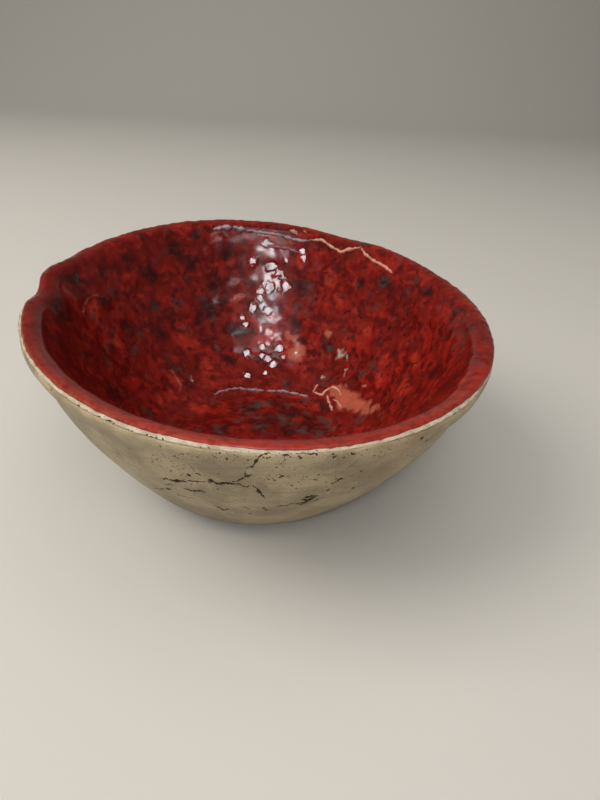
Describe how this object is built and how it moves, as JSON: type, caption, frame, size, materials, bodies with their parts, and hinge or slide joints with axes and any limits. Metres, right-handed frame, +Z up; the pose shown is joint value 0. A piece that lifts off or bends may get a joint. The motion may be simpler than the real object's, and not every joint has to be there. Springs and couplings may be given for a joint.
{
  "type": "bowl",
  "caption": "Hand-built stoneware bowl with a wavy lip, a glossy red glaze inside and a pale cracked slip outside, standing on a flat base.",
  "frame": {"origin": "centre of the flat underside, where the bowl rests on the table", "axes": "+Z up out of the bowl's mouth, -Y towards the side that the picture looks at, +X to the right seen from there"},
  "size_m": [0.198, 0.2084, 0.087],
  "materials": {
    "clay": "unglazed dark brown grogged clay",
    "luting_slip": "fired joining slip, matt",
    "sigillata": "burnished pale grey-beige slip, satin, cracked",
    "rim_slip": "cream slip, satin",
    "glaze": "glossy mottled red glaze"
  },
  "bodies": {
    "root": {"base_slab": "clay", "luting_slip": "luting_slip", "corner_coil": "clay", "wall": "clay", "sigillata_coat": "sigillata", "rim_slip": "rim_slip", "glaze_lining": "glaze"}
  },
  "joints": []
}
